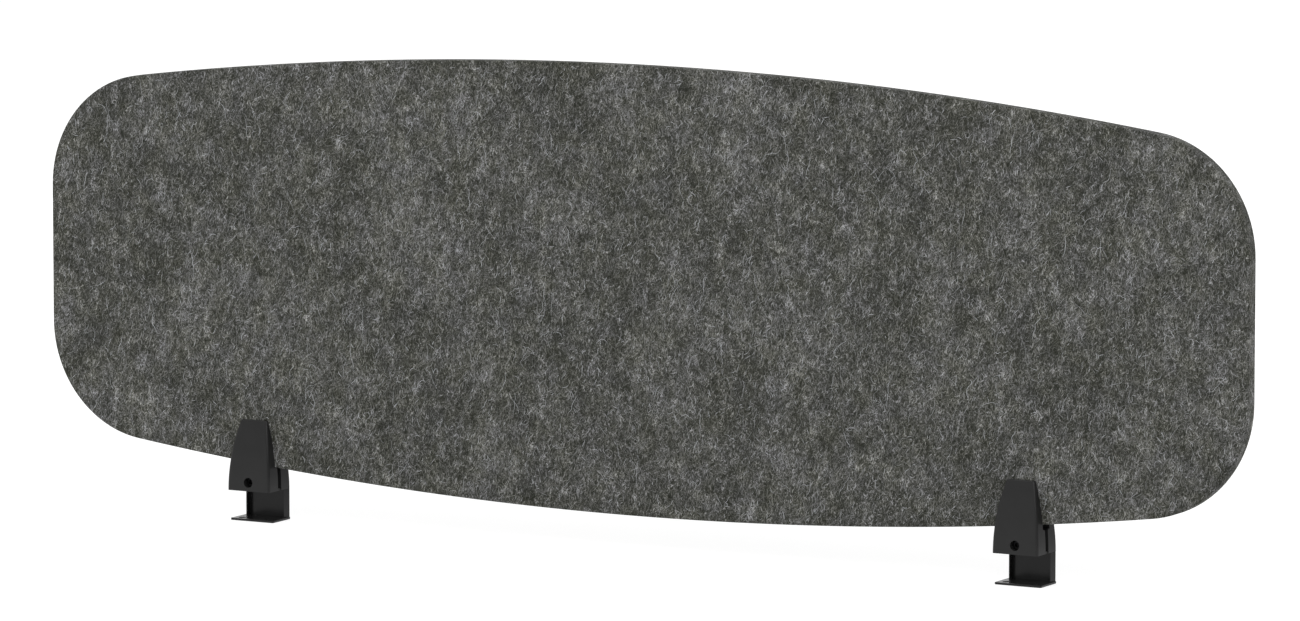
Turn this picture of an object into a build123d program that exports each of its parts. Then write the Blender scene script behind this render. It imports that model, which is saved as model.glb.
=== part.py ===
from build123d import *
import os
from math import cos, pi, sqrt

# Acoustic panel: a bowed felt board that stands in two screw clamps on a desk edge.
# Lengths are in millimetres. X runs along the board, Y from its front to its back and Z up.
# The origin is under the middle of the board, on the surface that the two feet stand on.

# Felt board
panel_length = 1200.0
panel_height = 398.0
panel_thickness = 12.0
panel_edge_bow = 47.0
panel_corner_radius = 104.0
panel_edge_radius = 0.8

# Places of the clamps, middle to middle
clamp_spacing = 771.0

# Both jaws of a clamp are cut from one tapered block
block_width = 43.8
block_depth = 37.4
block_height = 63.4
block_face_radius = 198.0
block_flank_radius = 250.0
block_edge_radius = 2.6
block_top_radius = 0.8

# Slot between the jaws: a wide pocket for the board, a slit below it, and a ledge at the foot
panel_clearance = 0.3
pocket_floor_height = 21.2
pocket_lip_radius = 1.6
slit_width = 5.5
ledge_height = 1.7
ledge_inset = 0.8

# Desk bracket: an upright web with raised rims, a foot and a tongue let into the rear jaw
desk_gap = 26.1
web_width = 43.0
web_thickness = 3.0
web_edge_radius = 1.2
rim_width = 0.9
rim_rise = 5.2
rim_lean = 1.5
foot_width = 45.0
foot_thickness = 2.0
foot_setback = 6.0
foot_front_radius = 1.5
foot_back_radius = 2.6
foot_edge_radius = 0.5
foot_hole_diameter = 6.8
foot_hole_spacing = 28.0
foot_hole_setback = 6.5
tongue_width = 34.0
tongue_height = 17.0
tongue_corner_radius = 4.0
tongue_clearance = 0.1

# Grip screw: a socket head screw that pulls the jaws together
grip_screw_height = 7.75
grip_screw_diameter = 5.0
grip_screw_length = 25.0
grip_head_diameter = 8.5
grip_head_height = 5.0
grip_head_chamfer = 0.5
grip_socket_width = 4.0
grip_socket_depth = 2.5
counterbore_diameter = 9.0
counterbore_depth = 10.0
running_clearance = 0.05
rear_hole_clearance = 0.25
bracket_hole_clearance = 0.25

# Captive nut behind the rear jaw
nut_width = 8.0
nut_thickness = 4.0
nut_clearance = 0.1
nut_chamfer = 0.4

# Countersunk screws that hold the tongue in the rear jaw
fixing_diameter = 4.0
fixing_length = 10.0
fixing_head_diameter = 7.0
fixing_head_rim = 0.3
fixing_socket_width = 2.5
fixing_socket_depth = 1.4
fixing_spacing = 22.0
fixing_height = 11.0
fixing_sink = 0.2
tip_clearance = 0.5

# How far a cutting shape runs past what it cuts
overrun = 5.0

# Heights and depths that follow
half_depth = block_depth / 2
half_slit = slit_width / 2
half_pocket = panel_thickness / 2 + panel_clearance
jaw_underside = foot_thickness + desk_gap
tongue_front = half_depth - web_thickness
screw_seat = counterbore_depth - half_depth
nut_front = tongue_front - tongue_clearance - nut_clearance - nut_thickness


def arc_drop(radius, reach):
    """How far an arc of this radius has turned away from its tangent after this reach."""
    return radius - sqrt(radius**2 - reach**2)


def panel_edge_radius_of_bow():
    """Radius of the long, bowed edges of the board."""
    half_length = panel_length / 2
    return (half_length**2 + panel_edge_bow**2) / (2 * panel_edge_bow)


def panel_centre_height():
    """Height of the board's middle when its lower edge sits on the pocket floors."""
    inner_side = clamp_spacing / 2 - block_width / 2
    edge_drop = arc_drop(panel_edge_radius_of_bow(), inner_side)
    seat = jaw_underside + pocket_floor_height + panel_clearance
    return seat + panel_height / 2 - edge_drop


def to_back(shape):
    """Turn a shape that was built up along Z so that it grows towards the back."""
    return Rot(X=-90) * shape


def to_front(shape):
    """Turn a shape that was built up along Z so that it grows towards the front."""
    return Rot(X=90) * shape


def rod(diameter, length):
    """Round bar that stands on its lower end."""
    return Cylinder(diameter / 2, length, align=(Align.CENTER, Align.CENTER, Align.MIN))


def corner_diameter(width):
    """Width across the corners of a hexagon that has this width across its flats."""
    return width / cos(pi / 6)


def hexagon(width, length):
    """Hexagonal bar that stands on its lower end, measured across its flats."""
    return extrude(RegularPolygon(corner_diameter(width) / 2, 6), length)


def swept_block(width, low_y, high_y, low_z, high_z):
    """Plain block, centred on the middle plane of a clamp."""
    middle = Pos(0, (low_y + high_y) / 2, (low_z + high_z) / 2)
    return middle * Box(width, high_y - low_y, high_z - low_z)


def felt_panel():
    """Board with bowed long edges, straight ends and large round corners."""
    half_length = panel_length / 2
    half_height = panel_height / 2
    end_height = half_height - panel_edge_bow
    top = ThreePointArc((-half_length, end_height), (0, half_height), (half_length, end_height))
    right = Line((half_length, end_height), (half_length, -end_height))
    bottom = ThreePointArc((half_length, -end_height), (0, -half_height), (-half_length, -end_height))
    left = Line((-half_length, -end_height), (-half_length, end_height))
    outline = make_face([top, right, bottom, left])
    outline = fillet(outline.vertices(), panel_corner_radius)
    board = extrude(Plane.XZ * outline, panel_thickness / 2, both=True)
    rims = board.edges().group_by(Axis.Y)
    board = fillet(rims[0] + rims[-1], panel_edge_radius)
    return Pos(0, 0, panel_centre_height()) * board


def tapered_outline(half_foot, radius):
    """Upright outline whose two sides leave the foot at right angles and curve inwards."""
    half_top = half_foot - arc_drop(radius, block_height)
    half_middle = half_foot - arc_drop(radius, block_height / 2)
    base = Line((-half_foot, 0), (half_foot, 0))
    right = ThreePointArc((half_foot, 0), (half_middle, block_height / 2), (half_top, block_height))
    top = Line((half_top, block_height), (-half_top, block_height))
    left = ThreePointArc((-half_top, block_height), (-half_middle, block_height / 2), (-half_foot, 0))
    return make_face([base, right, top, left])


def jaw_block():
    """Tapered block with rounded corners that holds both jaws, standing on its underside."""
    face_view = Plane.XZ * tapered_outline(block_width / 2, block_flank_radius)
    side_view = Plane.YZ * tapered_outline(half_depth, block_face_radius)
    block = extrude(face_view, block_depth, both=True) & extrude(side_view, block_width, both=True)
    corners = block.edges().filter_by(lambda edge: edge.bounding_box().size.Z > block_height / 2)
    block = fillet(corners, block_edge_radius)
    return fillet(block.edges().group_by(Axis.Z)[-1], block_top_radius)


def jaw_side(side):
    """What lies in front of the slot (side -1) or behind it (side 1), with the lip rounded."""
    far = side * (half_depth + overrun)
    outline = Polyline(
        (far, 0),
        (side * half_slit, 0),
        (side * half_slit, pocket_floor_height),
        (side * half_pocket, pocket_floor_height),
        (side * half_pocket, block_height + overrun),
        (far, block_height + overrun),
        close=True,
    )
    face = make_face(outline)
    lip = face.vertices().sort_by_distance((side * half_slit, pocket_floor_height))[0]
    face = fillet(lip, pocket_lip_radius)
    return extrude(Plane.YZ * face, block_width, both=True)


def front_jaw():
    """Front jaw with the counterbored hole of the grip screw."""
    jaw = jaw_block() & jaw_side(-1)
    mouth = Pos(0, -half_depth - overrun, grip_screw_height)
    jaw -= mouth * to_back(rod(counterbore_diameter, counterbore_depth + overrun))
    hole_diameter = grip_screw_diameter + 2 * running_clearance
    jaw -= mouth * to_back(rod(hole_diameter, half_depth + overrun))
    return jaw


def tongue(clearance):
    """Upper leg of the bracket, flush with the rear jaw's curved back, grown by a clearance."""
    plate = RectangleRounded(
        tongue_width + 2 * clearance,
        2 * (tongue_height + clearance),
        tongue_corner_radius + clearance,
    )
    leg = Pos(0, tongue_front - clearance, 0) * extrude(Plane.XZ * plate, -half_depth)
    above_foot = swept_block(block_width, 0, half_depth + overrun, 0, block_height)
    return leg & above_foot


def fixing_places():
    """Middles of the two bracket screws, on the mouth of their countersinks."""
    back = half_depth - arc_drop(block_face_radius, fixing_height) - fixing_sink
    return [Pos(side * fixing_spacing / 2, back, fixing_height) for side in (-1, 1)]


def fixing_body(clearance, socket):
    """One countersunk screw with its head's face at the origin, pointing to the front."""
    shank_radius = fixing_diameter / 2 + clearance
    head_radius = fixing_head_diameter / 2 + clearance
    cone_height = head_radius - shank_radius
    rim = rod(2 * head_radius, fixing_head_rim)
    cone = Cone(head_radius, shank_radius, cone_height, align=(Align.CENTER, Align.CENTER, Align.MIN))
    shank = rod(2 * shank_radius, fixing_length + clearance)
    screw = rim + Pos(0, 0, fixing_head_rim) * cone + shank
    if socket:
        screw -= hexagon(fixing_socket_width, fixing_socket_depth)
    return to_front(screw)


def rear_jaw():
    """Rear jaw with the ledge, the rebate of the tongue, the nut pocket and the screw holes."""
    jaw = jaw_block() & jaw_side(1)
    ledge_width = block_width - 2 * ledge_inset
    jaw += swept_block(ledge_width, -half_slit, half_slit + overrun, 0, ledge_height)
    jaw -= tongue(tongue_clearance)
    pocket_floor = Pos(0, nut_front, grip_screw_height)
    jaw -= pocket_floor * to_back(hexagon(nut_width + 2 * nut_clearance, half_depth))
    hole = rod(grip_screw_diameter + 2 * rear_hole_clearance, half_depth)
    jaw -= Pos(0, 0, grip_screw_height) * to_back(hole)
    for place in fixing_places():
        jaw -= place * fixing_body(running_clearance, False)
    return jaw


def foot_plate():
    """Flat foot, rounded at its corners and along its front."""
    foot_front = foot_setback - half_depth
    plate = swept_block(foot_width, foot_front, half_depth, 0, foot_thickness)
    front_corners = plate.edges().filter_by(Axis.Z).group_by(Axis.Y)[0]
    plate = fillet(front_corners, foot_front_radius)
    back_corners = plate.edges().filter_by(Axis.Z).group_by(Axis.Y)[-1]
    plate = fillet(back_corners, foot_back_radius)
    front_rims = plate.edges().filter_by(Axis.X).group_by(Axis.Y)[0]
    return fillet(front_rims, foot_edge_radius)


def bracket_web():
    """Upright channel: a web between two rims whose outer sides lean in towards their front edges."""
    rim_front = tongue_front - rim_rise
    half_back = web_width / 2
    half_front = half_back - rim_lean
    section = Polyline(
        (-half_back, half_depth),
        (-half_front, rim_front),
        (half_front, rim_front),
        (half_back, half_depth),
        close=True,
    )
    body = extrude(make_face(section), jaw_underside)
    back_edges = body.edges().filter_by(Axis.Z).group_by(Axis.Y)[-1]
    body = fillet(back_edges, web_edge_radius)
    trough_width = 2 * (half_front - rim_width)
    trough_top = jaw_underside + overrun
    trough = swept_block(trough_width, rim_front - overrun, tongue_front, foot_thickness, trough_top)
    return body + foot_plate() - trough


def desk_bracket():
    """Desk bracket with its tongue, the foot's fixing holes and the screw holes."""
    bracket = bracket_web()
    leg = tongue(0) & jaw_block()
    bracket += Pos(0, 0, jaw_underside) * leg
    for side in (-1, 1):
        hole_y = foot_setback - half_depth + foot_hole_setback
        place = Pos(side * foot_hole_spacing / 2, hole_y, -overrun)
        bracket -= place * rod(foot_hole_diameter, foot_thickness + 2 * overrun)
    tip_hole = rod(grip_screw_diameter + 2 * tip_clearance, half_depth)
    bracket -= Pos(0, tongue_front / 2, jaw_underside + grip_screw_height) * to_back(tip_hole)
    for place in fixing_places():
        countersink = place * fixing_body(bracket_hole_clearance, False)
        mouth = place * to_back(rod(fixing_head_diameter + 2 * bracket_hole_clearance, overrun))
        bracket -= Pos(0, 0, jaw_underside) * (countersink + mouth)
    return bracket


def grip_screw():
    """Socket head screw whose head bears on the floor of the counterbore."""
    head = rod(grip_head_diameter, grip_head_height)
    head = chamfer(head.edges().group_by(Axis.Z)[0], grip_head_chamfer)
    head -= hexagon(grip_socket_width, grip_socket_depth)
    shank = Pos(0, 0, grip_head_height) * rod(grip_screw_diameter, grip_screw_length)
    shank = chamfer(shank.edges().group_by(Axis.Z)[-1], grip_head_chamfer)
    screw = to_back(head + shank)
    return Pos(0, screw_seat - grip_head_height, grip_screw_height) * screw


def grip_nut():
    """Hexagon nut, chamfered at its corners, in the pocket behind the rear jaw."""
    disc = rod(corner_diameter(nut_width), nut_thickness)
    disc_rims = disc.edges().filter_by(GeomType.CIRCLE)
    nut = hexagon(nut_width, nut_thickness) & chamfer(disc_rims, nut_chamfer)
    nut -= rod(grip_screw_diameter + 2 * running_clearance, nut_thickness)
    return Pos(0, nut_front, grip_screw_height) * to_back(nut)


def bracket_screws():
    """The two countersunk screws of one bracket, as separate solids."""
    return [place * fixing_body(0, True) for place in fixing_places()]


def write_node(name, shape):
    """Write one named sub-part."""
    export_step(shape, f"parts/{name}.step")


def main():
    os.makedirs("parts", exist_ok=True)
    write_node("felt_panel", felt_panel())
    jaw_parts = {
        "front_jaw": front_jaw(),
        "rear_jaw": rear_jaw(),
        "grip_screw": grip_screw(),
        "grip_nut": grip_nut(),
    }
    bracket = desk_bracket()
    screws = bracket_screws()
    for side, name in ((-1, "left"), (1, "right")):
        foot_place = Pos(side * clamp_spacing / 2, 0, 0)
        jaw_place = foot_place * Pos(0, 0, jaw_underside)
        for part_name, shape in jaw_parts.items():
            write_node(f"{name}_{part_name}", jaw_place * shape)
        write_node(f"{name}_desk_bracket", foot_place * bracket)
        write_node(f"{name}_bracket_screws", Compound([jaw_place * screw for screw in screws]))


main()
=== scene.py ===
import math
import random

import bpy
from mathutils import Matrix, Vector, noise


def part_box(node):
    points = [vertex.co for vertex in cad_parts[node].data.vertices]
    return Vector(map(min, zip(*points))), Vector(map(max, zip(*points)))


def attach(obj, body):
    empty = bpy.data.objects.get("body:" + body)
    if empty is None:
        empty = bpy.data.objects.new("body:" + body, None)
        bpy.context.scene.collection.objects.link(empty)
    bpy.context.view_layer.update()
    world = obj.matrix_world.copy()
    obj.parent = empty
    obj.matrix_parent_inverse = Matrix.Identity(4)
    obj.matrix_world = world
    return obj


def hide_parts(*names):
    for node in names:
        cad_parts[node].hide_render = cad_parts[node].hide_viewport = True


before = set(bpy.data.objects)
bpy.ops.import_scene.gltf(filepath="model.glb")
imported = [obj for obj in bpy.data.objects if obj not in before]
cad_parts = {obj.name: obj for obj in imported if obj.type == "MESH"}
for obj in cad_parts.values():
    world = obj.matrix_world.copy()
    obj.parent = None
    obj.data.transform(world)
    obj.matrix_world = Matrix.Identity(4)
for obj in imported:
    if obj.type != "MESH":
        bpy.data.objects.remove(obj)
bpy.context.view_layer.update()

# A desk acoustic panel: a bowed board of needled felt, held in two black clamps.
# Lengths are in metres. X runs along the board, Y from its front to its back and Z up.

MM = 0.001

# Camera: a long lens to the right of the board and a little above it
camera_azimuth_deg = 29.10
camera_elevation_deg = 7.183
camera_distance = 7.931
camera_lens_mm = 250.59
camera_shift_right = 0.01816
camera_shift_up = -0.01703
sensor_width_mm = 36.0
nearest_shown = 0.1
furthest_shown = 100.0

# Board, as its solid is drawn
board_bow = 47.0 * MM
board_corner_radius = 104.0 * MM
board_edge_radius = 0.8 * MM

# Relief of the board's faces: shallow hollows between the thicker tufts of fibre
relief_depth = 0.30 * MM
relief_pitch = 24.0 * MM
relief_octaves = 3
relief_fineness = 0.8
relief_growth = 2.0

# The two faces differ, because the relief is read this many times as far apart as they lie
relief_apart = 3

# Step between the board's rows and columns in the mesh, and the number of steps round each
# corner, each rim and the cut edge
face_step = 4.0 * MM
corner_steps = 24
rim_steps = 3
edge_steps = 6

# Kinds of loose fibre that lie on the faces: lengths and widths in mm, directions in degrees, and
# how strongly each kind gathers in tufts
fibre_kinds = [
    {"count": 15000, "shortest": 2.5, "longest": 7.5, "thinnest": 0.19, "thickest": 0.40,
     "segments": 4, "spread": 42.0, "wander": 20.0, "curl": 5.0, "gather": 2.6},
    {"count": 2200, "shortest": 8.0, "longest": 26.0, "thinnest": 0.18, "thickest": 0.32,
     "segments": 10, "spread": 20.0, "wander": 18.0, "curl": 1.0, "gather": 1.2},
    {"count": 500, "shortest": 8.0, "longest": 18.0, "thinnest": 0.18, "thickest": 0.30,
     "segments": 10, "spread": 90.0, "wander": 12.0, "curl": 16.0, "gather": 1.6},
]

# How high the fibres lie above the felt, how far most of them lean from upright, the pitch of
# their tufts, and how far inside the outline they stay
fibre_lift = 0.06 * MM
fibre_lean_deg = 12.0
fibre_cluster_pitch = 14.0 * MM
fibre_margin = 2.0 * MM
fibre_seed = 12

# Most fibres are nearer their kind's shortest length than its longest
fibre_shortness = 1.6

# Least and greatest share of a kind's curl, and how much of a wander is left after a step
least_curl = 0.6
greatest_curl = 1.4
wander_left = 0.55

# How blunt a fibre's ends are, as a share of one of its steps
fibre_bluntness = 0.6


def linear(code):
    """Linear colour of an sRGB hex code such as #3a3c36."""
    shares = [int(code[place:place + 2], 16) / 255 for place in (1, 3, 5)]
    bent = [s / 12.92 if s <= 0.04045 else ((s + 0.055) / 1.055) ** 2.4 for s in shares]
    return (*bent, 1.0)


def add_node(tree, kind, settings=None, inputs=None):
    """Adds one node. settings are its attributes; inputs are socket values, or sockets to link from."""
    node = tree.nodes.new(kind)
    for name, value in (settings or {}).items():
        setattr(node, name, value)
    for key, value in (inputs or {}).items():
        if isinstance(value, bpy.types.NodeSocket):
            tree.links.new(value, node.inputs[key])
        else:
            node.inputs[key].default_value = value
    return node


def new_material(name):
    """An empty node material and its node tree."""
    material = bpy.data.materials.new(name)
    material.use_nodes = True
    material.node_tree.nodes.clear()
    return material, material.node_tree


def per_metre(size_mm):
    """Texture scale whose features are this many millimetres across."""
    return 1.0 / (size_mm * MM)


def make_camera():
    """Camera at the photograph's angle."""
    azimuth = math.radians(camera_azimuth_deg)
    elevation = math.radians(camera_elevation_deg)
    back = Vector((
        math.sin(azimuth) * math.cos(elevation),
        -math.cos(azimuth) * math.cos(elevation),
        math.sin(elevation),
    ))
    right = Vector((math.cos(azimuth), math.sin(azimuth), 0.0))
    up = back.cross(right)
    low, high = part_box("felt_panel")
    target = Vector(((low[0] + high[0]) / 2, low[1], (low[2] + high[2]) / 2))
    data = bpy.data.cameras.new("camera")
    data.lens = camera_lens_mm
    data.sensor_width = sensor_width_mm
    data.clip_start = nearest_shown
    data.clip_end = furthest_shown
    camera = bpy.data.objects.new("camera", data)
    bpy.context.scene.collection.objects.link(camera)
    place = target + back * camera_distance + right * camera_shift_right + up * camera_shift_up
    camera.matrix_world = Matrix.Translation(place) @ Matrix((right, up, back)).transposed().to_4x4()
    bpy.context.scene.camera = camera


make_camera()


# Bands of the felt's mottling: pitch in mm, stretch along the fibres, lean in degrees, and how
# strongly it shows
mottle_bands = [
    (60.0, 1.15, 12.0, 0.22),
    (27.0, 1.15, 12.0, 0.18),
    (12.0, 1.25, 12.0, 0.195),
    (6.0, 1.40, 12.0, 0.18),
    (3.0, 1.60, 12.0, 0.11),
]

# Fibres of the matted skin: pitch in mm, stretch along the fibre, lean in degrees, and how deep
# they lie under the topmost ones. Real fibres are about 0.03 mm thick; they are drawn in bundles
# as coarse as the render can show.
matted_fibres = [
    (0.75, 7.5, 13.0, 0.0),
    (0.75, 7.0, -18.0, 0.02),
    (0.75, 7.0, 40.0, 0.015),
    (0.80, 6.0, -52.0, 0.04),
    (0.80, 6.0, 76.0, 0.05),
]

# How strongly the matted fibres show, and the usual value of the topmost one
matted_strength = 2.15
matted_middle = 0.60

# Nets of fine curly fibre: mesh in mm, stretch along the fibres, lean in degrees, line width as
# a share of the noise's range, how strongly it shows, and the pitch in mm of the patches that
# hold it with the share of the noise at which a patch starts
fibre_nets = [
    (4.2, 2.2, 12.0, 0.035, 0.30, 7.0, 0.46),
    (3.0, 1.9, -8.0, 0.045, 0.28, 7.0, 0.46),
    (2.4, 1.7, 34.0, 0.050, 0.26, 7.0, 0.46),
    (1.8, 1.5, 4.0, 0.080, 0.58, 9.0, 0.56),
]

# How far above its start a patch has its full strength
patch_fade = 0.18

# Each layer of the pattern is read at its own place in the noise, a number of these shifts away
# in metres. The bands of mottling are numbered from 1, the nets in steps of 3 and the matted
# fibres from 21.
layer_shift = (0.37, 0.11, 0.23)
net_apart = 3
matted_start = 21

# Lightness of the pattern at its middle, before the nets are added
felt_middle = 0.210

# How much paler the cut edge is, where the surface faces sideways, and how squarely the surface
# faces forward or back where that paleness starts to fade and where it has gone
edge_paleness = 0.085
edge_facing = 0.5
face_facing = 0.9

# Slow drift that bends every line of the pattern
drift_pitch_mm = 7.0
drift_reach = 4.5 * MM

# Colours of the felt at both ends of its pattern, and between them with the place of each
felt_ground = "#2a2b26"
felt_palest = "#a8a8a9"
felt_shades = [(0.22, "#3c3d38"), (0.42, "#535350"), (0.70, "#7b7b79")]

# Tufts that lean to blue on a ground that leans to green
tuft_pitch_mm = 26.0
tuft_low = 0.35
tuft_high = 0.65
ground_cast = (1.0, 1.0, 0.935, 1.0)
tuft_cast = (1.0, 1.0, 1.045, 1.0)

# Colours of the loose fibres, and how much more often one is dark than pale
fibre_darkest = "#5c5c58"
fibre_palest = "#c2c4c8"
fibre_darkness = 2.6

# Skins of the clamps' pieces: pitches in mm. The mould's real grain is about 0.1 mm, and it is
# drawn as fine as the render can show.
mould_grain_mm = 0.6
mould_flow_mm = 18.0
orange_peel_mm = 1.8
machining_marks_mm = 0.8

# Most of a noise's values lie between these
noise_low = 0.3
noise_high = 0.7


def curled_spot(tree, spot):
    """Texture place pushed to and fro, so that straight streaks turn into curly ones."""
    drift = add_node(tree, "ShaderNodeTexNoise", inputs={
        "Vector": spot, "Scale": per_metre(drift_pitch_mm), "Detail": 1.0,
    }).outputs["Color"]
    centred = add_node(tree, "ShaderNodeVectorMath", {"operation": "SUBTRACT"}, {
        0: drift, 1: (0.5, 0.5, 0.5),
    }).outputs[0]
    return add_node(tree, "ShaderNodeVectorMath", {"operation": "MULTIPLY_ADD"}, {
        0: centred, 1: (drift_reach, drift_reach, drift_reach), 2: spot,
    }).outputs[0]


def leaning_spot(tree, spot, lean_deg, stretch, shift):
    """Texture place turned to the fibres' lean and drawn out along them."""
    turned = add_node(tree, "ShaderNodeMapping", inputs={
        "Vector": spot,
        "Location": tuple(shift * part for part in layer_shift),
        "Rotation": (0.0, math.radians(-lean_deg), 0.0),
    }).outputs[0]
    return add_node(tree, "ShaderNodeMapping", inputs={
        "Vector": turned, "Scale": (1.0, 1.0, 1.0 / stretch),
    }).outputs[0]


def drawn_noise(tree, spot, pitch_mm, stretch, lean_deg, shift):
    """Plain noise of this pitch, drawn out along a lean."""
    place = leaning_spot(tree, spot, lean_deg, stretch, shift)
    return add_node(tree, "ShaderNodeTexNoise", inputs={
        "Vector": place, "Scale": per_metre(pitch_mm), "Detail": 0.0,
    }).outputs[0]


def fibre_net(tree, spot, net, shift):
    """Thin curly lines: the places where a stretched noise crosses its middle, in patches."""
    mesh_mm, stretch, lean_deg, width, strength, patch_mm, patch_start = net
    place = leaning_spot(tree, spot, lean_deg, stretch, shift)
    field = add_node(tree, "ShaderNodeTexNoise", inputs={
        "Vector": place, "Scale": per_metre(mesh_mm), "Detail": 1.0, "Roughness": 0.5,
    }).outputs[0]
    away = add_node(tree, "ShaderNodeMath", {"operation": "SUBTRACT"}, {0: field, 1: 0.5}).outputs[0]
    distance = add_node(tree, "ShaderNodeMath", {"operation": "ABSOLUTE"}, {0: away}).outputs[0]
    line = add_node(tree, "ShaderNodeMapRange", inputs={
        "Value": distance, "From Max": width, "To Min": 1.0, "To Max": 0.0,
    }).outputs[0]
    patches = add_node(tree, "ShaderNodeTexNoise", inputs={
        "Vector": place, "Scale": per_metre(patch_mm), "Detail": 1.0,
    }).outputs[0]
    kept = add_node(tree, "ShaderNodeMapRange", inputs={
        "Value": patches, "From Min": patch_start, "From Max": patch_start + patch_fade, "To Max": strength,
    }).outputs[0]
    return add_node(tree, "ShaderNodeMath", {"operation": "MULTIPLY"}, {0: line, 1: kept}).outputs[0]


def topmost_strand(tree, curled):
    """Matted fibres that cross at several leans: at each place the one that lies on top."""
    strands = []
    for number, (pitch_mm, stretch, lean_deg, depth) in enumerate(matted_fibres, start=matted_start):
        strand = drawn_noise(tree, curled, pitch_mm, stretch, lean_deg, number)
        strands.append(add_node(tree, "ShaderNodeMath", {"operation": "SUBTRACT"}, {
            0: strand, 1: depth,
        }).outputs[0])
    topmost = strands[0]
    for strand in strands[1:]:
        topmost = add_node(tree, "ShaderNodeMath", {"operation": "MAXIMUM"}, {
            0: topmost, 1: strand,
        }).outputs[0]
    return topmost


def felt_level(tree, spot):
    """Lightness of the felt's pattern, from its dark ground at 0 to its palest fibres at 1."""
    curled = curled_spot(tree, spot)
    middle = sum(entry[3] for entry in mottle_bands) / 2 + matted_strength * matted_middle
    level = add_node(tree, "ShaderNodeMath", {"operation": "MULTIPLY_ADD"}, {
        0: topmost_strand(tree, curled), 1: matted_strength, 2: felt_middle - middle,
    }).outputs[0]
    for number, (pitch_mm, stretch, lean_deg, weight) in enumerate(mottle_bands, start=1):
        level = add_node(tree, "ShaderNodeMath", {"operation": "MULTIPLY_ADD"}, {
            0: drawn_noise(tree, curled, pitch_mm, stretch, lean_deg, number), 1: weight, 2: level,
        }).outputs[0]
    for number, net in enumerate(fibre_nets, start=1):
        line = fibre_net(tree, curled, net, net_apart * number)
        level = add_node(tree, "ShaderNodeMath", {"operation": "ADD"}, {0: level, 1: line}).outputs[0]
    return level


def cut_edge(tree):
    """0 on the board's faces and the edge's paleness round its cut edge."""
    outward = add_node(tree, "ShaderNodeTexCoord").outputs["Normal"]
    across = add_node(tree, "ShaderNodeSeparateXYZ", inputs={0: outward}).outputs["Y"]
    facing = add_node(tree, "ShaderNodeMath", {"operation": "ABSOLUTE"}, {0: across}).outputs[0]
    return add_node(tree, "ShaderNodeMapRange", inputs={
        "Value": facing, "From Min": edge_facing, "From Max": face_facing,
        "To Min": edge_paleness, "To Max": 0.0,
    }).outputs[0]


def needled_felt():
    """Charcoal felt of recycled polyester: greenish-dark ground, bluish tufts, pale curly fibres."""
    material, tree = new_material("needled_polyester_felt")
    spot = add_node(tree, "ShaderNodeTexCoord").outputs["Object"]
    level = felt_level(tree, spot)
    paled = add_node(tree, "ShaderNodeMath", {"operation": "ADD"}, {
        0: level, 1: cut_edge(tree),
    }).outputs[0]
    ramp = add_node(tree, "ShaderNodeValToRGB", inputs={"Fac": paled})
    shades = ramp.color_ramp.elements
    shades[0].color = linear(felt_ground)
    shades[1].color = linear(felt_palest)
    for share, code in felt_shades:
        shades.new(share).color = linear(code)

    # Tufts lean to blue, and the ground between them to green
    tufts = add_node(tree, "ShaderNodeTexNoise", inputs={
        "Vector": spot, "Scale": per_metre(tuft_pitch_mm), "Detail": 3.0, "Roughness": 0.7,
    }).outputs[0]
    tint = add_node(tree, "ShaderNodeMapRange", inputs={
        "Value": tufts, "From Min": tuft_low, "From Max": tuft_high,
    }).outputs[0]
    cast = add_node(tree, "ShaderNodeMix", {"data_type": "RGBA"}, {
        "Factor": tint, 6: ground_cast, 7: tuft_cast,
    }).outputs[2]
    colour = add_node(tree, "ShaderNodeMix", {"data_type": "RGBA", "blend_type": "MULTIPLY"}, {
        "Factor": 1.0, 6: ramp.outputs[0], 7: cast,
    }).outputs[2]

    # Fibres stand a little proud of the ground
    bump = add_node(tree, "ShaderNodeBump", inputs={
        "Strength": 0.4, "Distance": 0.4 * MM, "Height": level,
    }).outputs[0]
    surface = add_node(tree, "ShaderNodeBsdfPrincipled", inputs={
        "Base Color": colour, "Roughness": 0.95, "IOR": 1.5, "Specular IOR Level": 0.1,
        "Normal": bump,
    })
    add_node(tree, "ShaderNodeOutputMaterial", inputs={"Surface": surface.outputs[0]})
    return material


def loose_fibre():
    """Single polyester fibres, each its own shade from grey to bluish white."""
    material, tree = new_material("loose_polyester_fibre")
    draw = add_node(tree, "ShaderNodeNewGeometry").outputs["Random Per Island"]
    shade = add_node(tree, "ShaderNodeMath", {"operation": "POWER"}, {
        0: draw, 1: fibre_darkness,
    }).outputs[0]
    colour = add_node(tree, "ShaderNodeMix", {"data_type": "RGBA"}, {
        "Factor": shade, 6: linear(fibre_darkest), 7: linear(fibre_palest),
    }).outputs[2]
    surface = add_node(tree, "ShaderNodeBsdfPrincipled", inputs={
        "Base Color": colour, "Roughness": 0.8, "IOR": 1.5, "Specular IOR Level": 0.2,
    })
    add_node(tree, "ShaderNodeOutputMaterial", inputs={"Surface": surface.outputs[0]})
    return material


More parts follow.
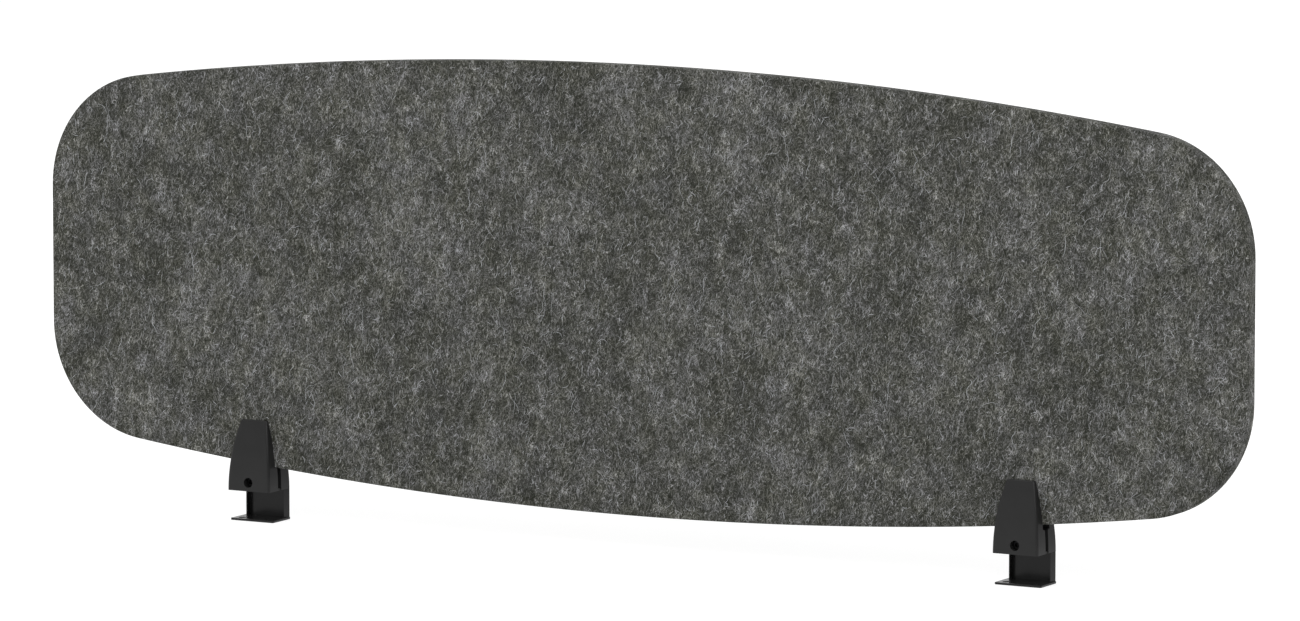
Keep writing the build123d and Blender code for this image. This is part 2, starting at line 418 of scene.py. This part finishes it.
def moulded_nylon():
    """Black glass-filled nylon from a finely spark-eroded mould: an even satin skin."""
    material, tree = new_material("moulded_black_nylon")
    spot = add_node(tree, "ShaderNodeTexCoord").outputs["Object"]
    grain = add_node(tree, "ShaderNodeTexNoise", inputs={
        "Vector": spot, "Scale": per_metre(mould_grain_mm), "Detail": 2.0, "Roughness": 0.6,
    }).outputs[0]
    flow = add_node(tree, "ShaderNodeTexNoise", inputs={
        "Vector": spot, "Scale": per_metre(mould_flow_mm), "Detail": 3.0,
    }).outputs[0]
    colour = add_node(tree, "ShaderNodeMix", {"data_type": "RGBA"}, {
        "Factor": flow, 6: linear("#202020"), 7: linear("#272727"),
    }).outputs[2]
    roughness = add_node(tree, "ShaderNodeMapRange", {"clamp": True}, {
        "Value": flow, "From Min": noise_low, "From Max": noise_high, "To Min": 0.30, "To Max": 0.38,
    }).outputs[0]
    bump = add_node(tree, "ShaderNodeBump", inputs={
        "Strength": 0.12, "Distance": 0.05 * MM, "Height": grain,
    }).outputs[0]
    surface = add_node(tree, "ShaderNodeBsdfPrincipled", inputs={
        "Base Color": colour, "Roughness": roughness, "IOR": 1.5, "Specular IOR Level": 0.22,
        "Normal": bump,
    })
    add_node(tree, "ShaderNodeOutputMaterial", inputs={"Surface": surface.outputs[0]})
    return material


def powder_coat():
    """Black powder coat baked on cast steel: satin, with a faint orange-peel."""
    material, tree = new_material("powder_coated_steel")
    spot = add_node(tree, "ShaderNodeTexCoord").outputs["Object"]
    peel = add_node(tree, "ShaderNodeTexNoise", inputs={
        "Vector": spot, "Scale": per_metre(orange_peel_mm), "Detail": 2.0, "Roughness": 0.5,
    }).outputs[0]
    colour = add_node(tree, "ShaderNodeMix", {"data_type": "RGBA"}, {
        "Factor": peel, 6: linear("#191919"), 7: linear("#1f1f1f"),
    }).outputs[2]
    roughness = add_node(tree, "ShaderNodeMapRange", {"clamp": True}, {
        "Value": peel, "From Min": noise_low, "From Max": noise_high, "To Min": 0.20, "To Max": 0.27,
    }).outputs[0]
    bump = add_node(tree, "ShaderNodeBump", inputs={
        "Strength": 0.06, "Distance": 0.03 * MM, "Height": peel,
    }).outputs[0]
    surface = add_node(tree, "ShaderNodeBsdfPrincipled", inputs={
        "Base Color": colour, "Roughness": roughness, "IOR": 1.5, "Specular IOR Level": 0.22,
        "Normal": bump,
    })
    add_node(tree, "ShaderNodeOutputMaterial", inputs={"Surface": surface.outputs[0]})
    return material


def turned_steel(name, dark, light, roughness_low, roughness_high):
    """Steel fastener with fine machining marks and a thin surface finish."""
    material, tree = new_material(name)
    spot = add_node(tree, "ShaderNodeTexCoord").outputs["Object"]
    marks = add_node(tree, "ShaderNodeTexNoise", inputs={
        "Vector": spot, "Scale": per_metre(machining_marks_mm), "Detail": 3.0,
    }).outputs[0]
    colour = add_node(tree, "ShaderNodeMix", {"data_type": "RGBA"}, {
        "Factor": marks, 6: linear(dark), 7: linear(light),
    }).outputs[2]
    roughness = add_node(tree, "ShaderNodeMapRange", {"clamp": True}, {
        "Value": marks, "From Min": noise_low, "From Max": noise_high,
        "To Min": roughness_low, "To Max": roughness_high,
    }).outputs[0]
    surface = add_node(tree, "ShaderNodeBsdfPrincipled", inputs={
        "Base Color": colour, "Metallic": 1.0, "Roughness": roughness,
    })
    add_node(tree, "ShaderNodeOutputMaterial", inputs={"Surface": surface.outputs[0]})
    return material


felt = needled_felt()
fibre = loose_fibre()
nylon = moulded_nylon()
coat = powder_coat()
black_oxide = turned_steel("black_oxide_steel", "#1a1a1b", "#262627", 0.35, 0.5)
zinc = turned_steel("zinc_plated_steel", "#9b9c98", "#b4b4ae", 0.3, 0.45)


def outline_arcs(half_length, half_height):
    """Radius and centre height of the upper bow, and the middle of the upper right corner's arc."""
    bow_radius = (half_length ** 2 + board_bow ** 2) / (2 * board_bow)
    bow_centre = half_height - bow_radius
    corner_x = half_length - board_corner_radius
    reach = bow_radius - board_corner_radius
    corner_z = bow_centre + math.sqrt(reach ** 2 - corner_x ** 2)
    return bow_radius, bow_centre, corner_x, corner_z


def outline_stations(half_length, half_height):
    """Columns of the board from left to right: middle and radius of each one's arc, and its angle."""
    bow_radius, bow_centre, corner_x, corner_z = outline_arcs(half_length, half_height)
    meet = math.atan2(corner_z - bow_centre, corner_x)
    stations = []
    for step in range(corner_steps):
        angle = math.pi - meet * step / corner_steps
        stations.append((-corner_x, corner_z, board_corner_radius, angle))
    bow_steps = round(bow_radius * (math.pi - 2 * meet) / face_step)
    for step in range(bow_steps + 1):
        angle = (math.pi - meet) - (math.pi - 2 * meet) * step / bow_steps
        stations.append((0.0, bow_centre, bow_radius, angle))
    for step in range(1, corner_steps + 1):
        angle = meet - meet * step / corner_steps
        stations.append((corner_x, corner_z, board_corner_radius, angle))
    return stations


def relief(x, y, z):
    """How far the face lies below the board's full thickness at this place."""
    spot = Vector((x, y * relief_apart, z)) / relief_pitch
    level = noise.fractal(
        spot, relief_fineness, relief_growth, relief_octaves, noise_basis="PERLIN_ORIGINAL",
    )
    return relief_depth * min(1.0, max(0.0, 0.5 + 0.5 * level))


def make_board():
    """The felt board as one closed mesh: two faces in low relief, joined round a rounded cut edge."""
    low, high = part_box("felt_panel")
    half_length = (high[0] - low[0]) / 2
    half_height = (high[2] - low[2]) / 2
    half_thickness = (high[1] - low[1]) / 2
    middle = (Vector(low) + Vector(high)) / 2
    stations = outline_stations(half_length, half_height)
    rows = round(2 * half_height / face_step)
    columns = len(stations)

    vertices = []
    faces = []

    def top_of(station, inset):
        centre_x, centre_z, radius, angle = station
        return (
            centre_x + (radius - inset) * math.cos(angle),
            centre_z + (radius - inset) * math.sin(angle),
        )

    def face_grid(side):
        start = len(vertices)
        for station in stations:
            x, top = top_of(station, board_edge_radius)
            for row in range(rows + 1):
                z = top * (2 * row / rows - 1)
                inner = 0.0 if row in (0, rows) else relief(x, side * half_thickness, z)
                vertices.append(middle + Vector((x, side * (half_thickness - inner), z)))
        for column in range(columns - 1):
            for row in range(rows):
                a = start + column * (rows + 1) + row
                b = a + rows + 1
                quad = (a, b, b + 1, a + 1)
                faces.append(quad if side < 0 else quad[::-1])
        return start

    def rim_of(start):
        """Vertices round the grid, with the outward direction of each."""
        ring = []
        last = columns - 1
        for column in range(columns):
            angle = stations[column][3]
            ring.append((start + column * (rows + 1) + rows, math.cos(angle), math.sin(angle)))
        for row in range(rows - 1, 0, -1):
            ring.append((start + last * (rows + 1) + row, 1.0, 0.0))
        for column in range(last, -1, -1):
            angle = stations[column][3]
            ring.append((start + column * (rows + 1), math.cos(angle), -math.sin(angle)))
        for row in range(1, rows):
            ring.append((start + row, -1.0, 0.0))
        return ring

    # The relief ends at the rims, where the cut edge starts
    front = rim_of(face_grid(-1))
    back = rim_of(face_grid(1))
    for ring, side in ((front, -1), (back, 1)):
        for entry in ring:
            vertices[entry[0]].y = middle.y + side * half_thickness

    # Profile of the cut edge from the front face to the back: how far out, and where through the board
    straight = half_thickness - board_edge_radius
    profile = []
    for step in range(1, rim_steps + 1):
        angle = math.pi / 2 * step / rim_steps
        out = board_edge_radius * math.sin(angle)
        profile.append((out, -straight - board_edge_radius * math.cos(angle)))
    for step in range(1, edge_steps):
        profile.append((board_edge_radius, straight * (2 * step / edge_steps - 1)))
    for step in range(rim_steps, 0, -1):
        angle = math.pi / 2 * step / rim_steps
        out = board_edge_radius * math.sin(angle)
        profile.append((out, straight + board_edge_radius * math.cos(angle)))

    previous = [entry[0] for entry in front]
    for out, depth in profile:
        ring = []
        for index, across, upward in front:
            anchor = vertices[index]
            ring.append(len(vertices))
            place = (anchor.x + out * across, middle.y + depth, anchor.z + out * upward)
            vertices.append(Vector(place))
        bridge(faces, previous, ring)
        previous = ring
    bridge(faces, previous, [entry[0] for entry in back])
    return mesh_object("felt_board", vertices, faces, felt)


def bridge(faces, ring, following):
    """Quads between two closed rings of the same length."""
    count = len(ring)
    for index in range(count):
        after = (index + 1) % count
        faces.append((ring[index], ring[after], following[after], following[index]))


def mesh_object(name, vertices, faces, material):
    """A smooth-shaded mesh object at the origin."""
    mesh = bpy.data.meshes.new(name)
    mesh.from_pydata([tuple(vertex) for vertex in vertices], [], faces)
    mesh.materials.append(material)
    mesh.validate()
    mesh.shade_smooth()
    piece = bpy.data.objects.new(name, mesh)
    bpy.context.scene.collection.objects.link(piece)
    return piece


def inside_board(x, z, half_length, half_height, margin):
    """True if this place on a face is inside the outline by at least the margin."""
    bow_radius, bow_centre, corner_x, corner_z = outline_arcs(half_length, half_height)
    if abs(x) > half_length - margin:
        return False
    if math.hypot(x, abs(z) - bow_centre) > bow_radius - margin:
        return False
    if abs(x) > corner_x and abs(z) > corner_z:
        return math.hypot(abs(x) - corner_x, abs(z) - corner_z) < board_corner_radius - margin
    return True


def fibre_path(dice, kind, half_length, half_height):
    """Places and headings along one loose fibre, or nothing if it leaves the face or a bare patch."""
    x = dice.uniform(-half_length, half_length)
    z = dice.uniform(-half_height, half_height)
    spare = kind["longest"] - kind["shortest"]
    length = MM * (kind["shortest"] + spare * dice.random() ** fibre_shortness)
    course = 90 - fibre_lean_deg + dice.gauss(0, kind["spread"])
    curl = dice.choice((-1, 1)) * dice.uniform(least_curl, greatest_curl) * kind["curl"]
    step_length = length / kind["segments"]
    wander = 0.0
    path = []
    for step in range(kind["segments"] + 1):
        heading = math.radians(course + wander)
        path.append((x, z, heading))
        wander = wander_left * wander + dice.gauss(0, kind["wander"])
        course += curl
        x += step_length * math.cos(heading)
        z += step_length * math.sin(heading)
    start = Vector((path[0][0], 0.0, path[0][1]))
    crowd = 0.5 + kind["gather"] * noise.noise(start / fibre_cluster_pitch)
    if dice.random() > crowd:
        return []
    if all(inside_board(px, pz, half_length, half_height, fibre_margin) for px, pz, _ in path):
        return path
    return []


def make_fibres(name, side, seed):
    """Loose fibres on one face: thin curly ribbons that lie on the felt."""
    low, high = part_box("felt_panel")
    half_length = (high[0] - low[0]) / 2
    half_height = (high[2] - low[2]) / 2
    middle = (Vector(low) + Vector(high)) / 2
    face_y = low[1] if side < 0 else high[1]
    dice = random.Random(seed)
    vertices = []
    faces = []
    for kind in fibre_kinds:
        made = 0
        while made < kind["count"]:
            path = fibre_path(dice, kind, half_length, half_height)
            if not path:
                continue
            made += 1
            start = len(vertices)
            width = MM * dice.uniform(kind["thinnest"], kind["thickest"])
            for step, (x, z, heading) in enumerate(path):
                along = (step + fibre_bluntness) / (len(path) - 1 + 2 * fibre_bluntness)
                half = width / 2 * math.sin(math.pi * along)
                y = face_y + side * (fibre_lift - relief(x, side * (high[1] - low[1]) / 2, z))
                across = Vector((-math.sin(heading), 0.0, math.cos(heading))) * half
                spot = Vector((middle.x + x, y, middle.z + z))
                vertices += [spot - across, spot + across]
            for step in range(len(path) - 1):
                a = start + 2 * step
                faces.append((a, a + 1, a + 3, a + 2) if side > 0 else (a, a + 2, a + 3, a + 1))
    return mesh_object(name, vertices, faces, fibre)


board = make_board()
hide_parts("felt_panel")
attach(board, "board")

for name, side in (("felt_fibres_front", -1), ("felt_fibres_back", 1)):
    fibres = make_fibres(name, side, fibre_seed + side)
    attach(fibres, "board")


# The clamps' solids keep their shape and get their finish
finishes = {
    "front_jaw": nylon,
    "rear_jaw": nylon,
    "desk_bracket": coat,
    "grip_screw": black_oxide,
    "grip_nut": zinc,
    "bracket_screws": black_oxide,
}
for side in ("left", "right"):
    for part, finish in finishes.items():
        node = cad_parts[f"{side}_{part}"]
        node.data.materials.clear()
        node.data.materials.append(finish)


# Studio: light as it falls on the object, and the paler one that the camera and reflections see
floor_size = 40.0
floor_drop = 0.0002
floor_colour = "#f2f2f2"
backdrop_glow = 0.75
floor_share = 0.40
world_strength = 0.70

# The backdrop is white up to one height and falls to the ceiling's strength at another
ceiling_strength = 0.35
backdrop_height = 0.05
ceiling_height = 0.7

# What reflections see of the studio's right side and of the floor behind the object: the least
# share, and where it starts and ends
dim_side = 0.25
dim_side_start = 0.0
dim_side_end = 0.45
dim_floor = 0.35
dim_floor_start = 0.05
dim_floor_end = 0.30

# Square soft boxes: name, place and power in watts. All of them aim near the board's middle.
soft_box_size = 2.4
soft_box_aim = (0.0, 0.0, 0.2)
soft_boxes = [
    ("key_light", (2.6, -3.0, 2.9), 52.0),
    ("fill_light", (-1.8, -2.2, 3.6), 52.0),
    ("back_light", (-1.4, 3.2, 2.6), 40.0),
]


def shows_background(tree):
    """1 for rays from the camera, mirrors and glass, which see the pale studio, and 0 for light."""
    path = add_node(tree, "ShaderNodeLightPath").outputs
    seen = add_node(tree, "ShaderNodeMath", {"operation": "MAXIMUM"}, {
        0: path["Is Camera Ray"], 1: path["Is Glossy Ray"],
    }).outputs[0]
    return add_node(tree, "ShaderNodeMath", {"operation": "MAXIMUM"}, {
        0: seen, 1: path["Is Transmission Ray"],
    }).outputs[0]


def dimmed_in_gloss(tree, place, start, end, least):
    """1, or for reflections a share that falls to the least one as the place goes from start to end."""
    share = add_node(tree, "ShaderNodeMapRange", inputs={
        "Value": place, "From Min": start, "From Max": end, "To Min": 1.0, "To Max": least,
    }).outputs[0]
    glossy = add_node(tree, "ShaderNodeLightPath").outputs["Is Glossy Ray"]
    return add_node(tree, "ShaderNodeMapRange", inputs={
        "Value": glossy, "To Min": 1.0, "To Max": share,
    }).outputs[0]


def make_world():
    """Even light from all round, behind a white backdrop that is dimmer to the right in reflections."""
    world = bpy.data.worlds.new("studio")
    world.use_nodes = True
    tree = world.node_tree
    tree.nodes.clear()
    direction = add_node(tree, "ShaderNodeTexCoord").outputs["Generated"]
    heading = add_node(tree, "ShaderNodeSeparateXYZ", inputs={0: direction}).outputs
    upward = add_node(tree, "ShaderNodeMapRange", inputs={
        "Value": heading["Z"], "From Min": backdrop_height, "From Max": ceiling_height,
        "To Min": 1.0, "To Max": ceiling_strength,
    }).outputs[0]
    sideways = dimmed_in_gloss(tree, heading["X"], dim_side_start, dim_side_end, dim_side)
    backdrop = add_node(tree, "ShaderNodeMath", {"operation": "MULTIPLY"}, {
        0: upward, 1: sideways,
    }).outputs[0]
    strength = add_node(tree, "ShaderNodeMapRange", inputs={
        "Value": shows_background(tree), "To Min": world_strength, "To Max": backdrop,
    }).outputs[0]
    sky = add_node(tree, "ShaderNodeBackground", inputs={
        "Color": (1.0, 1.0, 1.0, 1.0), "Strength": strength,
    })
    add_node(tree, "ShaderNodeOutputWorld", inputs={"Surface": sky.outputs[0]})
    bpy.context.scene.world = world


def make_floor():
    """Plain pale floor that keeps the object's shadow."""
    material, tree = new_material("studio_floor")
    matt = add_node(tree, "ShaderNodeBsdfDiffuse", inputs={"Color": linear(floor_colour)})
    spot = add_node(tree, "ShaderNodeTexCoord").outputs["Object"]
    depth = add_node(tree, "ShaderNodeSeparateXYZ", inputs={0: spot}).outputs["Y"]
    share = dimmed_in_gloss(tree, depth, dim_floor_start, dim_floor_end, dim_floor)
    shade = add_node(tree, "ShaderNodeMath", {"operation": "MULTIPLY"}, {
        0: share, 1: floor_share,
    }).outputs[0]
    faint = add_node(tree, "ShaderNodeBsdfDiffuse", inputs={"Color": shade})
    brightness = add_node(tree, "ShaderNodeMath", {"operation": "MULTIPLY"}, {
        0: share, 1: backdrop_glow,
    }).outputs[0]
    glow = add_node(tree, "ShaderNodeEmission", inputs={
        "Color": (1.0, 1.0, 1.0, 1.0), "Strength": brightness,
    })
    pale = add_node(tree, "ShaderNodeAddShader", inputs={0: faint.outputs[0], 1: glow.outputs[0]})
    mixed = add_node(tree, "ShaderNodeMixShader", inputs={
        0: shows_background(tree), 1: matt.outputs[0], 2: pale.outputs[0],
    })
    add_node(tree, "ShaderNodeOutputMaterial", inputs={"Surface": mixed.outputs[0]})
    half = floor_size / 2
    outline = ((-half, -half), (half, -half), (half, half), (-half, half))
    corners = [(x, y, -floor_drop) for x, y in outline]
    floor = mesh_object("floor", corners, [(0, 1, 2, 3)], material)


def make_soft_boxes():
    """Square area lamps round the object."""
    for name, place, power in soft_boxes:
        data = bpy.data.lights.new(name, "AREA")
        data.shape = "SQUARE"
        data.size = soft_box_size
        data.energy = power
        lamp = bpy.data.objects.new(name, data)
        bpy.context.scene.collection.objects.link(lamp)
        aim = Vector(soft_box_aim) - Vector(place)
        turn = aim.to_track_quat("-Z", "Y").to_matrix().to_4x4()
        lamp.matrix_world = Matrix.Translation(place) @ turn


make_world()
make_floor()
make_soft_boxes()

bpy.context.scene.view_settings.view_transform = "Standard"
